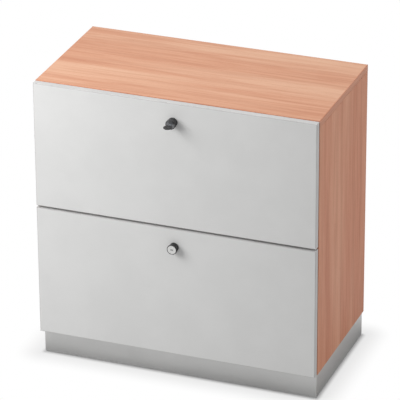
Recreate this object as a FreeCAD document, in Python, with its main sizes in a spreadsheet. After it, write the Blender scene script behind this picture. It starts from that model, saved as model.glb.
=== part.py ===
import FreeCAD, Part
import math
import os
from collections import namedtuple
from types import SimpleNamespace

import Sketcher

# A lateral filing cabinet with two drawers for hanging files. Lengths are in millimetres. +X is the right
# side as seen from the front, +Y runs to the back and +Z is up. The origin is on the floor, under the
# middle of the overall box, with the knobs and the key counted in.

SIZES = {
    # whole cabinet, from the faces of the fronts to the back of the carcass
    "width": 800,
    "depth": 420,
    "height": 820,
    # boards and the gaps round the fronts
    "board": 19,
    "front_board": 19,
    "back_board": 8,
    "back_inset": 12,
    "back_groove": 6,
    "rail_depth": 90,
    "edge_band": 2,
    "edge_round": 1.2,
    "front_gap": 6,
    "lower_front_extra": 18,
    "front_reveal": 1,
    "front_clear": 2,
    "bumper_radius": 4,
    "bumper_inset": 45,
    # connectors between the boards
    "connector_inset": 60,
    "connector_cam_radius": 7.5,
    "connector_cam_height": 12.5,
    "bolt_set": 24,
    "bolt_grip": 11,
    "bolt_radius": 3.5,
    "dowel_inset": 95,
    "dowel_radius": 4,
    "dowel_length": 30,
    "dowel_deep": 20,
    # plinth and levellers
    "plinth_height": 75,
    "plinth_inset": 4,
    "plinth_sheet": 2,
    "plinth_flange": 25,
    "floor_gap": 3,
    "bracket_span": 74,
    "bracket_drop": 35,
    "bracket_sheet": 3,
    "bracket_tab": 25,
    "foot_inset": 52,
    "foot_radius": 16,
    "foot_rim": 5,
    "foot_neck": 9,
    "foot_height": 9,
    "stud_radius": 5,
    "stud_proud": 11,
    "stud_nut_radius": 10,
    "stud_nut_height": 8,
    # screws and rivets
    "screw_radius": 2,
    "screw_head": 4,
    "screw_head_height": 2.2,
    "screw_grip": 11,
    "slide_screw_head": 3.2,
    "rivet_head": 3.5,
    "rivet_head_height": 1.2,
    # telescopic slides
    "slide_height": 45,
    "slide_width": 12.7,
    "slide_sheet": 1.2,
    "slide_bend": 1.5,
    "slide_lift": 90,
    "slide_setback": 3,
    "slide_rear_clear": 11,
    "flange_clear": 0.5,
    "web_gap": 1.8,
    "ball_radius": 2.5,
    "ball_play": 0.05,
    "race_depth": 0.5,
    "cage_length": 120,
    "cage_sheet": 0.8,
    "cage_clear": 0.5,
    # steel drawer boxes
    "box_lift": 36,
    "box_rear_clear": 15,
    "box_top_clear": 68.5,
    "wall_sheet": 1.2,
    "wall_flange": 12,
    "wall_lip": 8,
    "front_tab": 25,
    "front_tab_low": 60,
    "front_tab_drop": 35,
    "tab_screw_inset": 20,
    "tray_clear": 0.2,
    "tray_upstand": 40,
    "tray_return": 10,
    "tray_bend": 2,
    "file_rail_setback": 18,
    "file_rail_height": 16,
    "file_rail_sheet": 3,
    "file_rail_tab": 24,
    "file_rail_drop": 9,
    # knobs, locks and key
    "lock_drop": 53,
    "knob_reach": 20,
    "knob_radius": 14,
    "knob_round": 1.2,
    "knob_rim": 7,
    "knob_foot_radius": 13,
    "knob_foot": 3,
    "knob_waist": 8,
    "barrel_radius": 9.5,
    "barrel_tail": 11,
    "lock_nut_radius": 14,
    "lock_nut_height": 6,
    "plug_radius": 7,
    "plug_head": 12,
    "plug_head_depth": 3,
    "plug_recess": 0.4,
    "plug_play": 0.05,
    "cam_reach": 30,
    "cam_width": 14,
    "cam_round": 5,
    "cam_sheet": 3,
    "cam_square": 8,
    "cam_rivet_radius": 6.5,
    "cam_rivet_height": 1.5,
    "strike_gap": 1.5,
    "strike_sheet": 2,
    "strike_leg": 17,
    "strike_foot": 24,
    "strike_width": 44,
    "strike_screw_span": 26,
    "key_blade": 7,
    "key_sheet": 2.2,
    "key_play": 0.15,
    "key_depth": 18,
    "key_stem": 6,
    "key_bow_radius": 12,
    "key_bow_sheet": 4,
    "key_hole_radius": 3,
    # clearance round anything set in a drilled hole, and the overrun of a cut that goes through
    "fit": 0.1,
    "overrun": 1,
}

# Places along a length, as shares of it.
SLIDE_SCREW_SHARES = (0.1, 0.5, 0.9)
BALL_SHARES = (0.15, 0.5, 0.85)
PLINTH_SCREW_SHARES = (0.2, 0.5, 0.8)
RAIL_DOWEL_SHARES = (0.3, 0.7)

# Turns in plan, in degrees, of a piece that is drawn along the front.
TURNS = {"front": 0, "right": 90, "back": 180, "left": 270}

PLANES = {"x": "YZ_Plane", "y": "XZ_Plane", "z": "XY_Plane"}
ROD_TURNS = {
    "x": ((0, 1, 0), 90),
    "-x": ((0, 1, 0), -90),
    "y": ((1, 0, 0), -90),
    "-y": ((1, 0, 0), 90),
    "z": ((0, 0, 1), 0),
    "-z": ((1, 0, 0), 180),
}
UPRIGHT = FreeCAD.Vector(0, 0, 1)


class Size:
    """A length held both as a number and as a formula of the sheet's cells."""

    def __init__(self, value, text):
        self.value = value
        self.text = text

    def __add__(self, other):
        other = size(other)
        return Size(self.value + other.value, f"({self.text} + {other.text})")

    def __sub__(self, other):
        other = size(other)
        if self.text == other.text:
            return ZERO
        return Size(self.value - other.value, f"({self.text} - {other.text})")

    def __mul__(self, other):
        other = size(other)
        return Size(self.value * other.value, f"({self.text} * {other.text})")

    def __truediv__(self, other):
        other = size(other)
        return Size(self.value / other.value, f"({self.text} / {other.text})")

    def __neg__(self):
        if self.text == ZERO.text:
            return self
        return Size(-self.value, f"(-1 * {self.text})")

    def root(self):
        return Size(math.sqrt(self.value), f"sqrt({self.text})")


ZERO = Size(0.0, "0")


def size(number):
    """Takes a plain number as a Size."""
    if isinstance(number, Size):
        return number
    return Size(float(number), repr(number))


# A corner of an outline: a fillet rounds it, and an arc of that radius leads from it to the next corner and
# swells to the left of the way there.
Corner = namedtuple("Corner", "x y fillet arc", defaults=(None, None))
Round = namedtuple("Round", "x y radius")

DOC = FreeCAD.newDocument("FilingCabinet")
SHEET = DOC.addObject("Spreadsheet::Sheet", "Sizes")
for row, (name, number) in enumerate(SIZES.items(), start=1):
    SHEET.set(f"A{row}", name)
    SHEET.set(f"B{row}", str(number))
    SHEET.setAlias(f"B{row}", name)
DOC.recompute()
dim = SimpleNamespace(**{name: Size(float(number), f"Sizes.{name}") for name, number in SIZES.items()})
NODES = []


def node(label, item):
    """Names a finished piece, so that it is written out."""
    item.Label = label
    NODES.append(item)
    return item


def bind(item, path, length):
    """Binds one property of an object to a formula of the sheet."""
    item.setExpression(path, size(length).text)


def put(item, place):
    """Binds an object's place to formulas of the sheet."""
    for axis, length in zip("xyz", place):
        if length is not ZERO:
            bind(item, f"Placement.Base.{axis}", length)


def rectangle(left, low, right, high, fillets=(None, None, None, None)):
    """The four corners of a rectangle, from its lower left one, with a fillet for each."""
    places = ((left, low), (right, low), (right, high), (left, high))
    return [Corner(x, y, fillet) for (x, y), fillet in zip(places, fillets)]


def heading(start, end):
    """The direction of a level or upright line between two corners, as steps of -1, 0 or 1."""
    across = end.x.value - start.x.value
    up = end.y.value - start.y.value
    if abs(across) > abs(up):
        return (int(math.copysign(1, across)), 0)
    return (0, int(math.copysign(1, up)))


def step(length, direction, amount):
    """A length moved by an amount, in a direction of -1, 0 or 1."""
    if direction == 0:
        return length
    return length + amount if direction > 0 else length - amount


def arc_centre(start, end, radius):
    """The centre of the smaller arc between two corners that swells to the left."""
    across = end.x.value - start.x.value
    up = end.y.value - start.y.value
    chord = math.hypot(across, up)
    sink = math.sqrt(radius.value**2 - chord**2 / 4)
    middle_x = (start.x.value + end.x.value) / 2
    middle_y = (start.y.value + end.y.value) / 2
    return FreeCAD.Vector(middle_x + up / chord * sink, middle_y - across / chord * sink, 0)


def outline_edges(corners):
    """Lists an outline's edges as start, end, radius and centre; the last two only for arcs."""
    runs = []
    for index, corner in enumerate(corners):
        if corner.fillet is None:
            runs.append((corner, corner, None))
            continue
        come = heading(corners[index - 1], corner)
        leave = heading(corner, corners[(index + 1) % len(corners)])
        first = Corner(step(corner.x, -come[0], corner.fillet), step(corner.y, -come[1], corner.fillet))
        last = Corner(step(corner.x, leave[0], corner.fillet), step(corner.y, leave[1], corner.fillet))
        centre_x = step(first.x, leave[0], corner.fillet).value
        centre_y = step(first.y, leave[1], corner.fillet).value
        runs.append((first, last, FreeCAD.Vector(centre_x, centre_y, 0)))
    edges = []
    for index, (first, last, centre) in enumerate(runs):
        corner = corners[index]
        following = runs[(index + 1) % len(runs)][0]
        if centre is not None:
            edges.append((first, last, corner.fillet, centre))
        if corner.arc is None:
            edges.append((last, following, None, None))
        else:
            edges.append((last, following, corner.arc, arc_centre(last, following, corner.arc)))
    return edges


def bound_constraint(sketch, length, *terms):
    """Adds a dimension to a sketch and binds it to the sheet."""
    index = sketch.addConstraint(Sketcher.Constraint(*terms, length.value))
    bind(sketch, f"Constraints[{index}]", length)


def pin(sketch, edge, end, x, y):
    """Fixes a point of a sketch at a place measured from the sketch's own origin."""
    for kind, axis, length in (("DistanceX", -2, x), ("DistanceY", -1, y)):
        if length.text == ZERO.text:
            sketch.addConstraint(Sketcher.Constraint("PointOnObject", edge, end, axis))
        else:
            bound_constraint(sketch, length, kind, -1, 1, edge, end)


def draw_outline(sketch, corners):
    """Draws a closed outline of lines and arcs, with every corner and radius bound to the sheet."""
    ends = []
    edges = outline_edges(corners)
    for start, end, radius, centre in edges:
        first = FreeCAD.Vector(start.x.value, start.y.value, 0)
        last = FreeCAD.Vector(end.x.value, end.y.value, 0)
        if radius is None:
            ends.append((sketch.addGeometry(Part.LineSegment(first, last)), 1, 2))
            continue
        rising = (first - centre).cross(last - centre).z > 0
        circle = Part.Circle(centre, UPRIGHT, radius.value)
        low = circle.parameter(first if rising else last)
        high = circle.parameter(last if rising else first)
        if high < low:
            high += 2 * math.pi
        edge = sketch.addGeometry(Part.ArcOfCircle(circle, low, high))
        ends.append((edge, 1, 2) if rising else (edge, 2, 1))
    for index, (edge, start, end) in enumerate(ends):
        following, following_start, _ = ends[(index + 1) % len(ends)]
        sketch.addConstraint(Sketcher.Constraint("Coincident", edge, end, following, following_start))
    for (edge, start, _), (corner, _, radius, _) in zip(ends, edges):
        pin(sketch, edge, start, corner.x, corner.y)
        if radius is not None:
            bound_constraint(sketch, radius, "Radius", edge)


def draw_round(sketch, circle):
    """Draws a circle bound to the sheet."""
    centre = FreeCAD.Vector(circle.x.value, circle.y.value, 0)
    edge = sketch.addGeometry(Part.Circle(centre, UPRIGHT, circle.radius.value))
    bound_constraint(sketch, circle.radius, "Radius", edge)
    pin(sketch, edge, 3, circle.x, circle.y)


class Piece:
    """A body drawn in the cabinet's coordinates, or in its own ones where it is turned or profiled."""

    def __init__(self, origin, turn="front", own=True):
        self.body = DOC.addObject("PartDesign::Body", "Body")
        self.body.Placement = FreeCAD.Placement(FreeCAD.Vector(), FreeCAD.Rotation(UPRIGHT, TURNS[turn]))
        put(self.body, origin)
        zero_origin = (ZERO, ZERO, ZERO)
        self.origin = dict(zip("xyz", zero_origin if own else origin))

    def sketch(self, axis, level, loops):
        """Draws outlines and circles square to an axis, at a level along it."""
        sketch = self.body.newObject("Sketcher::SketchObject", "Sketch")
        planes = {item.Role: item for item in self.body.Origin.OriginFeatures}
        sketch.AttachmentSupport = [(planes[PLANES[axis]], "")]
        sketch.MapMode = "FlatFace"
        lift = level - self.origin[axis]
        if lift is not ZERO:
            bind(sketch, "AttachmentOffset.Base.z", -lift if axis == "y" else lift)
        across, up = (self.origin[name] for name in "xyz" if name != axis)
        for loop in loops:
            if isinstance(loop, Round):
                draw_round(sketch, loop._replace(x=loop.x - across, y=loop.y - up))
            else:
                draw_outline(sketch, [corner._replace(x=corner.x - across, y=corner.y - up) for corner in loop])
        return sketch

    def pad(self, axis, level, loops, length):
        """Adds material from a level, forward along an axis."""
        feature = self.body.newObject("PartDesign::Pad", "Pad")
        feature.Profile = self.sketch(axis, level, loops)
        feature.Reversed = axis == "y"
        bind(feature, "Length", length)
        return self

    def cut(self, axis, level, loops, depth, forward=True):
        """Takes material away from a level, forward or backward along an axis."""
        feature = self.body.newObject("PartDesign::Pocket", "Pocket")
        feature.Profile = self.sketch(axis, level, loops)
        feature.Reversed = forward != (axis == "y")
        bind(feature, "Length", depth)
        return self

    def spin(self, axis, corners):
        """Turns an outline of radius and height round the upright line of its own plane."""
        feature = self.body.newObject("PartDesign::Revolution", "Revolution")
        feature.Profile = self.sketch(axis, ZERO, [corners])
        feature.ReferenceAxis = (feature.Profile[0], ["V_Axis"])
        feature.Angle = 360
        return self


def board(low, high):
    """A plain board between two opposite corners."""
    piece = Piece(low, own=False)
    return piece.pad("z", low[2], [rectangle(low[0], low[1], high[0], high[1])], high[2] - low[2])


def strip(axis, low, high, outward, side):
    """An edge strip along an axis, rounded along the two edges of its low or high outward face."""
    flat = [name for name in "xyz" if name != axis]
    near = dict(zip("xyz", low))
    far = dict(zip("xyz", high))
    fillets = []
    for place in ((0, 0), (1, 0), (1, 1), (0, 1)):
        outer = place[flat.index(outward)] == side
        fillets.append(dim.edge_round if outer else None)
    corners = rectangle(near[flat[0]], near[flat[1]], far[flat[0]], far[flat[1]], fillets)
    return Piece(low, own=False).pad(axis, near[axis], [corners], far[axis] - near[axis]).body


def mirror(item):
    """The right-hand twin of a left-hand piece."""
    twin = DOC.addObject("Part::Mirroring", "Mirror")
    twin.Source = item
    twin.Normal = FreeCAD.Vector(1, 0, 0)
    return twin


def both(items):
    """Left-hand pieces with their right-hand twins."""
    return [*items, *(mirror(item) for item in items)]


def group(items):
    """Several separate solids under one name."""
    compound = DOC.addObject("Part::Compound", "Group")
    compound.Links = items
    return compound


def turned(item, axis, place):
    """Turns an upright primitive to point along an axis, and puts it in place."""
    direction, angle = ROD_TURNS[axis]
    item.Placement = FreeCAD.Placement(FreeCAD.Vector(), FreeCAD.Rotation(FreeCAD.Vector(*direction), angle))
    put(item, place)
    return item


def rod(axis, place, radius, length):
    """A round rod from a place along an axis."""
    item = DOC.addObject("Part::Cylinder", "Rod")
    bind(item, "Radius", radius)
    bind(item, "Height", length)
    return turned(item, axis, place)


def fused(items):
    """Several touching primitives as one solid."""
    solid = DOC.addObject("Part::MultiFuse", "Fused")
    solid.Shapes = items
    return solid


def hex_nut(axis, place, radius, length, bore):
    """A six-sided nut with a plain bore."""
    prism = DOC.addObject("Part::Prism", "Prism")
    prism.Polygon = 6
    bind(prism, "Circumradius", radius)
    bind(prism, "Height", length)
    nut = DOC.addObject("Part::Cut", "Nut")
    nut.Base = turned(prism, axis, place)
    nut.Tool = rod(axis, place, bore, length)
    return nut


def screw(axis, place, head, head_height, grip):
    """A screw whose head stands against the axis on a face at a place, and whose shank goes in along it."""
    back = {"x": "-x", "-x": "x", "y": "-y", "-y": "y", "z": "-z", "-z": "z"}[axis]
    return fused([rod(axis, place, dim.screw_radius, grip), rod(back, place, head, head_height)])


# Places that several pieces share.
half_width = dim.width / 2
inner_half = half_width - dim.board
front_half = half_width - dim.front_reveal
box_half = inner_half - dim.slide_width
reach = dim.knob_reach + dim.key_stem + dim.key_bow_radius * 2
front_face = (reach - dim.depth) / 2
front_back = front_face + dim.front_board
carcass_front = front_back + dim.front_clear
carcass_back = front_face + dim.depth
core_front = carcass_front + dim.edge_band
core_back = carcass_back - dim.edge_band
top_under = dim.height - dim.board
floor_top = dim.plinth_height + dim.board
front_space = dim.height - dim.plinth_height - dim.front_reveal * 2 - dim.front_gap
upper_front = (front_space - dim.lower_front_extra) / 2
lower_front = upper_front + dim.lower_front_extra
pitch = upper_front + dim.front_gap
rail_under = top_under - pitch
rail_back = carcass_front + dim.rail_depth
lower_base = dim.plinth_height + dim.front_reveal
BASES = {"upper": lower_base + lower_front + dim.front_gap, "lower": lower_base}
TOPS = {"upper": BASES["upper"] + upper_front, "lower": lower_base + lower_front}
UNDERSIDES = {"upper": top_under, "lower": rail_under}
back_near = carcass_back - dim.back_inset - dim.back_board
back_far = carcass_back - dim.back_inset
connector_rows = (carcass_front + dim.connector_inset, carcass_back - dim.connector_inset)
dowel_rows = (carcass_front + dim.dowel_inset, carcass_back - dim.dowel_inset)
rail_dowel_rows = [carcass_front + dim.rail_depth * share for share in RAIL_DOWEL_SHARES]
box_depth = back_near - dim.box_rear_clear - front_back
wall_height = upper_front - dim.box_lift - dim.box_top_clear
tab_high = wall_height - dim.front_tab_drop
slide_front = carcass_front + dim.slide_setback
slide_length = front_back + box_depth - dim.slide_rear_clear - slide_front
slide_screw_rows = [slide_front + slide_length * share for share in SLIDE_SCREW_SHARES]
dowel_shallow = dim.dowel_length - dim.dowel_deep
cam_bore = dim.connector_cam_radius + dim.fit
bolt_bore = dim.bolt_radius + dim.fit
dowel_bore = dim.dowel_radius + dim.fit
screw_bore = dim.screw_radius + dim.fit
plinth_front = carcass_front + dim.plinth_inset
plinth_back = carcass_back - dim.plinth_inset
plinth_half = half_width - dim.plinth_inset
plinth_length = plinth_half * 2
plinth_screw_columns = [plinth_length * share - plinth_half for share in PLINTH_SCREW_SHARES]
plinth_screw_inset = dim.plinth_flange / 2
plinth_screw_rows = (plinth_front + plinth_screw_inset, plinth_back - plinth_screw_inset)
cam_front = front_back + dim.barrel_tail + dim.fit
strike_front = cam_front - dim.strike_gap - dim.strike_sheet
strike_screw_row = strike_front + dim.strike_foot / 2 + dim.strike_sheet
strike_screw_columns = (-dim.strike_screw_span / 2, dim.strike_screw_span / 2)


def slide_level(base):
    """The height of a drawer's slides, from the bottom edge of its front."""
    return base + dim.box_lift + dim.slide_lift


def lock_level(name):
    """The height of a drawer's lock, from the top edge of its front."""
    return TOPS[name] - dim.lock_drop


def groove(left, right):
    """The outline in plan of the groove that holds the back panel."""
    return rectangle(left, back_near - dim.fit, right, back_far + dim.fit)


def build_boards():
    """The carcass boards, drilled and grooved, with their edge strips."""
    mid_top = half_width - dim.board / 2
    mid_floor = dim.plinth_height + dim.board / 2
    mid_rail = rail_under + dim.board / 2
    groove_half = inner_half + dim.back_groove

    side = board((-half_width, core_front, dim.plinth_height), (-inner_half, core_back, top_under))
    slide_holes = [
        Round(row, slide_level(base), screw_bore) for base in BASES.values() for row in slide_screw_rows
    ]
    floor_dowels = [Round(row, mid_floor, dowel_bore) for row in dowel_rows]
    rail_dowels = [Round(row, mid_rail, dowel_bore) for row in rail_dowel_rows]
    floor_bolts = [Round(row, mid_floor, bolt_bore) for row in connector_rows]
    cams = [Round(row, top_under - dim.bolt_set, cam_bore) for row in connector_rows]
    side.cut("x", -inner_half, slide_holes, dim.screw_grip + dim.fit, forward=False)
    side.cut("x", -inner_half, floor_dowels + rail_dowels, dowel_shallow + dim.fit, forward=False)
    side.cut("x", -inner_half, floor_bolts, dim.bolt_grip + dim.fit, forward=False)
    side.cut("x", -inner_half, cams, dim.connector_cam_height + dim.fit, forward=False)
    side.cut("z", top_under, [Round(-mid_top, row, dowel_bore) for row in dowel_rows],
             dim.dowel_deep + dim.fit, forward=False)
    side.cut("z", top_under, [Round(-mid_top, row, bolt_bore) for row in connector_rows],
             dim.bolt_set, forward=False)
    side.cut("z", dim.plinth_height, [groove(-groove_half - dim.fit, -inner_half)], top_under)
    node("left_side_panel", side.body)
    node("right_side_panel", mirror(side.body))

    top_half = half_width - dim.edge_band
    top = board((-top_half, core_front, top_under), (top_half, core_back, dim.height))
    columns = (-mid_top, mid_top)
    top.cut("z", top_under, [Round(x, row, dowel_bore) for x in columns for row in dowel_rows],
            dowel_shallow + dim.fit)
    top.cut("z", top_under, [Round(x, row, bolt_bore) for x in columns for row in connector_rows],
            dim.bolt_grip + dim.fit)
    top.cut("z", top_under, [Round(x, strike_screw_row, screw_bore) for x in strike_screw_columns],
            dim.screw_grip)
    top.cut("z", top_under, [groove(-groove_half - dim.fit, groove_half + dim.fit)], dim.back_groove + dim.fit)
    node("top_panel", top.body)

    floor = board((-inner_half, core_front, dim.plinth_height), (inner_half, carcass_back, floor_top))
    cam_column = inner_half - dim.bolt_set
    floor_cams = [Round(x, row, cam_bore) for x in (-cam_column, cam_column) for row in connector_rows]
    floor_screws = [
        Round(x, row, screw_bore) for x in plinth_screw_columns for row in plinth_screw_rows
    ]
    floor.cut("z", dim.plinth_height, floor_cams, dim.connector_cam_height + dim.fit)
    floor.cut("z", dim.plinth_height, floor_screws, dim.screw_grip)
    floor.cut("z", floor_top, [groove(-inner_half, inner_half)], dim.back_groove + dim.fit, forward=False)
    for level, forward in ((-inner_half, True), (inner_half, False)):
        floor.cut("x", level, floor_dowels, dim.dowel_deep + dim.fit, forward)
        floor.cut("x", level, floor_bolts, dim.bolt_set, forward)
    node("bottom_panel", floor.body)

    rail = board((-inner_half, core_front, rail_under), (inner_half, rail_back, rail_under + dim.board))
    for level, forward in ((-inner_half, True), (inner_half, False)):
        rail.cut("x", level, rail_dowels, dim.dowel_deep + dim.fit, forward)
    rail.cut("z", rail_under, [Round(x, strike_screw_row, screw_bore) for x in strike_screw_columns],
             dim.screw_grip)
    node("middle_rail", rail.body)

    back = board((-groove_half, back_near, floor_top - dim.back_groove),
                 (groove_half, back_far, top_under + dim.back_groove))
    node("back_panel", back.body)

    left_strips = [
        strip("y", (-half_width, core_front, top_under), (-top_half, core_back, dim.height), "x", 0),
        strip("z", (-half_width, carcass_front, dim.plinth_height), (-inner_half, core_front, top_under), "y", 0),
        strip("z", (-half_width, core_back, dim.plinth_height), (-inner_half, carcass_back, top_under), "y", 1),
    ]
    long_strips = [
        strip("x", (-half_width, carcass_front, top_under), (half_width, core_front, dim.height), "y", 0),
        strip("x", (-half_width, core_back, top_under), (half_width, carcass_back, dim.height), "y", 1),
        strip("x", (-inner_half, carcass_front, dim.plinth_height), (inner_half, core_front, floor_top), "y", 0),
        strip("x", (-inner_half, carcass_front, rail_under),
              (inner_half, core_front, rail_under + dim.board), "y", 0),
    ]
    node("carcass_edge_strips", group(both(left_strips) + long_strips))


def build_connectors():
    """Cams, bolts and dowels that hold the boards together."""
    mid_side = half_width - dim.board / 2
    mid_floor = dim.plinth_height + dim.board / 2
    mid_rail = rail_under + dim.board / 2
    cam_level = top_under - dim.bolt_set
    cam_column = inner_half - dim.bolt_set
    bolt_stop = dim.bolt_set - dim.connector_cam_radius - dim.fit
    bolt_length = bolt_stop + dim.bolt_grip
    cams = []
    bolts = []
    dowels = []
    for row in connector_rows:
        cams.append(rod("-x", (-inner_half, row, cam_level), dim.connector_cam_radius, dim.connector_cam_height))
        cams.append(rod("z", (-cam_column, row, dim.plinth_height), dim.connector_cam_radius,
                        dim.connector_cam_height))
        bolts.append(rod("z", (-mid_side, row, top_under - bolt_stop), dim.bolt_radius, bolt_length))
        bolts.append(rod("x", (-inner_half - dim.bolt_grip, row, mid_floor), dim.bolt_radius, bolt_length))
    for row in dowel_rows:
        dowels.append(rod("z", (-mid_side, row, top_under - dim.dowel_deep), dim.dowel_radius, dim.dowel_length))
        dowels.append(rod("x", (-inner_half - dowel_shallow, row, mid_floor), dim.dowel_radius, dim.dowel_length))
    for row in rail_dowel_rows:
        dowels.append(rod("x", (-inner_half - dowel_shallow, row, mid_rail), dim.dowel_radius, dim.dowel_length))
    node("connector_cams", group(both(cams)))
    node("connector_bolts", group(both(bolts)))
    node("dowels", group(both(dowels)))


def plinth_rail(place, turn, length, screw_columns):
    """A folded channel of the plinth, mitred at both ends, its outer face along its own X axis."""
    tall = dim.plinth_height - dim.floor_gap
    sheet = dim.plinth_sheet
    flange = dim.plinth_flange
    channel = [
        Corner(ZERO, ZERO), Corner(flange, ZERO), Corner(flange, sheet), Corner(sheet, sheet),
        Corner(sheet, tall - sheet), Corner(flange, tall - sheet), Corner(flange, tall), Corner(ZERO, tall),
    ]
    mitre = flange + dim.overrun
    near_end = [Corner(ZERO, ZERO), Corner(mitre, mitre), Corner(ZERO, mitre)]
    far_end = [Corner(length, ZERO), Corner(length, mitre), Corner(length - mitre, mitre)]
    rail = Piece(place, turn).pad("x", ZERO, [channel], length)
    rail.cut("z", ZERO, [near_end, far_end], tall + dim.overrun)
    if screw_columns:
        holes = [Round(column, plinth_screw_inset, screw_bore) for column in screw_columns]
        rail.cut("z", tall - sheet, holes, sheet + dim.overrun)
    return rail.body


def build_plinth():
    """The plinth frame with its corner brackets, nuts, screws and levellers."""
    side_length = plinth_back - plinth_front
    columns = [plinth_length * share for share in PLINTH_SCREW_SHARES]
    lift = dim.floor_gap
    node("plinth_front_rail", plinth_rail((-plinth_half, plinth_front, lift), "front", plinth_length, columns))
    node("plinth_right_rail", plinth_rail((plinth_half, plinth_front, lift), "right", side_length, []))
    node("plinth_back_rail", plinth_rail((plinth_half, plinth_back, lift), "back", plinth_length, columns))
    node("plinth_left_rail", plinth_rail((-plinth_half, plinth_back, lift), "left", side_length, []))

    level = dim.plinth_height - dim.bracket_drop
    stud_top = level + dim.bracket_sheet + dim.stud_nut_height + dim.stud_proud
    sheet = dim.plinth_sheet
    span = dim.bracket_span
    folded = sheet + dim.bracket_sheet
    foot = dim.foot_inset
    corners = {
        "front_left": (-plinth_half, plinth_front, "front", 1, 1),
        "front_right": (plinth_half, plinth_front, "right", -1, 1),
        "back_right": (plinth_half, plinth_back, "back", -1, -1),
        "back_left": (-plinth_half, plinth_back, "left", 1, -1),
    }
    brackets = []
    nuts = []
    for name, (x, y, turn, across, along) in corners.items():
        bracket = Piece((x, y, level), turn)
        bracket.pad("z", ZERO, [rectangle(sheet, sheet, span, span)], dim.bracket_sheet)
        bracket.pad("z", -dim.bracket_tab, [rectangle(sheet, sheet, folded, span)], dim.bracket_tab)
        bracket.pad("z", -dim.bracket_tab, [rectangle(sheet, sheet, span, folded)], dim.bracket_tab)
        bracket.cut("z", ZERO, [Round(foot, foot, dim.stud_radius + dim.fit)], dim.bracket_sheet + dim.overrun)
        brackets.append(bracket.body)
        foot_x = x + foot * across
        foot_y = y + foot * along
        nuts.append(hex_nut("z", (foot_x, foot_y, level + dim.bracket_sheet), dim.stud_nut_radius,
                            dim.stud_nut_height, dim.stud_radius + dim.fit))
        leveller = Piece((foot_x, foot_y, ZERO)).spin("y", [
            Corner(ZERO, ZERO), Corner(dim.foot_radius, ZERO), Corner(dim.foot_radius, dim.foot_rim),
            Corner(dim.foot_neck, dim.foot_height), Corner(dim.stud_radius, dim.foot_height),
            Corner(dim.stud_radius, stud_top), Corner(ZERO, stud_top),
        ])
        node(f"{name}_leveller", leveller.body)
    node("plinth_corner_brackets", group(brackets))
    node("leveller_nuts", group(nuts))


def build_strikes():
    """The angle plates that the lock cams turn behind, and the screws that hold them and the plinth."""
    sheet = dim.strike_sheet
    angle = [
        Corner(ZERO, -dim.strike_leg), Corner(sheet, -dim.strike_leg), Corner(sheet, -sheet),
        Corner(dim.strike_foot, -sheet), Corner(dim.strike_foot, ZERO), Corner(ZERO, ZERO),
    ]
    strikes = []
    screws = []
    for under in UNDERSIDES.values():
        strike = Piece((-dim.strike_width / 2, strike_front, under)).pad("x", ZERO, [angle], dim.strike_width)
        holes = [
            Round(column + dim.strike_width / 2, strike_screw_row - strike_front, screw_bore)
            for column in strike_screw_columns
        ]
        strike.cut("z", -sheet, holes, sheet + dim.overrun)
        strikes.append(strike.body)
        for column in strike_screw_columns:
            screws.append(screw("z", (column, strike_screw_row, under - sheet), dim.screw_head,
                                dim.screw_head_height, dim.screw_grip))
    for column in plinth_screw_columns:
        for row in plinth_screw_rows:
            screws.append(screw("z", (column, row, dim.plinth_height - dim.plinth_sheet), dim.screw_head,
                                dim.screw_head_height, dim.screw_grip))
    node("lock_strikes", group(strikes))
    node("carcass_screws", group(screws))


# Heights of the nested slide members above the middle of a slide: each ball sits between two shallow races.
ball_offset = dim.ball_radius + dim.ball_play - dim.race_depth
outer_half = dim.slide_height / 2
outer_row = outer_half - dim.slide_sheet - ball_offset
middle_half = outer_row - ball_offset
inner_row = middle_half - dim.slide_sheet - ball_offset
drawer_half = inner_row - ball_offset
race_radius = dim.ball_radius + dim.ball_play * 2
race_half = (dim.race_depth * (race_radius * 2 - dim.race_depth)).root()
flange_edge = dim.slide_width - dim.flange_clear
middle_web = dim.slide_sheet + dim.web_gap
ball_column = (middle_web + dim.slide_width) / 2
cage_edge = dim.slide_width - dim.slide_sheet - dim.cage_clear
outer_cage_web = dim.slide_sheet + dim.cage_clear
inner_cage_web = middle_web + dim.slide_sheet + dim.cage_clear
drawer_edge = inner_cage_web + dim.cage_sheet + dim.cage_clear


def raced(level, rightward):
    """The two corners of a ball race on a level flange face, in the order in which the outline meets them."""
    left = ball_column - race_half
    right = ball_column + race_half
    if rightward:
        return [Corner(left, level, None, race_radius), Corner(right, level)]
    return [Corner(right, level, None, race_radius), Corner(left, level)]


def channel_section(web, edge, half, sheet, outer_races, inner_races, bend=None):
    """A channel open to the right, with ball races on the outer and inner faces of its flanges."""
    low_outer = raced(-half, True) if outer_races else []
    high_outer = raced(half, False) if outer_races else []
    low_inner = raced(sheet - half, False) if inner_races else []
    high_inner = raced(half - sheet, True) if inner_races else []
    return [
        Corner(web, -half, bend), *low_outer, Corner(edge, -half), Corner(edge, sheet - half), *low_inner,
        Corner(web + sheet, sheet - half), Corner(web + sheet, half - sheet), *high_inner,
        Corner(edge, half - sheet), Corner(edge, half), *high_outer, Corner(web, half, bend),
    ]


def drawer_section():
    """The channel on the drawer's wall, open to the left, with a race on the outside of each flange."""
    sheet = dim.slide_sheet
    face = dim.slide_width
    half = drawer_half
    return [
        Corner(drawer_edge, -half), *raced(-half, True), Corner(face, -half), Corner(face, half),
        *raced(half, False), Corner(drawer_edge, half), Corner(drawer_edge, half - sheet),
        Corner(face - sheet, half - sheet), Corner(face - sheet, sheet - half), Corner(drawer_edge, sheet - half),
    ]


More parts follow.
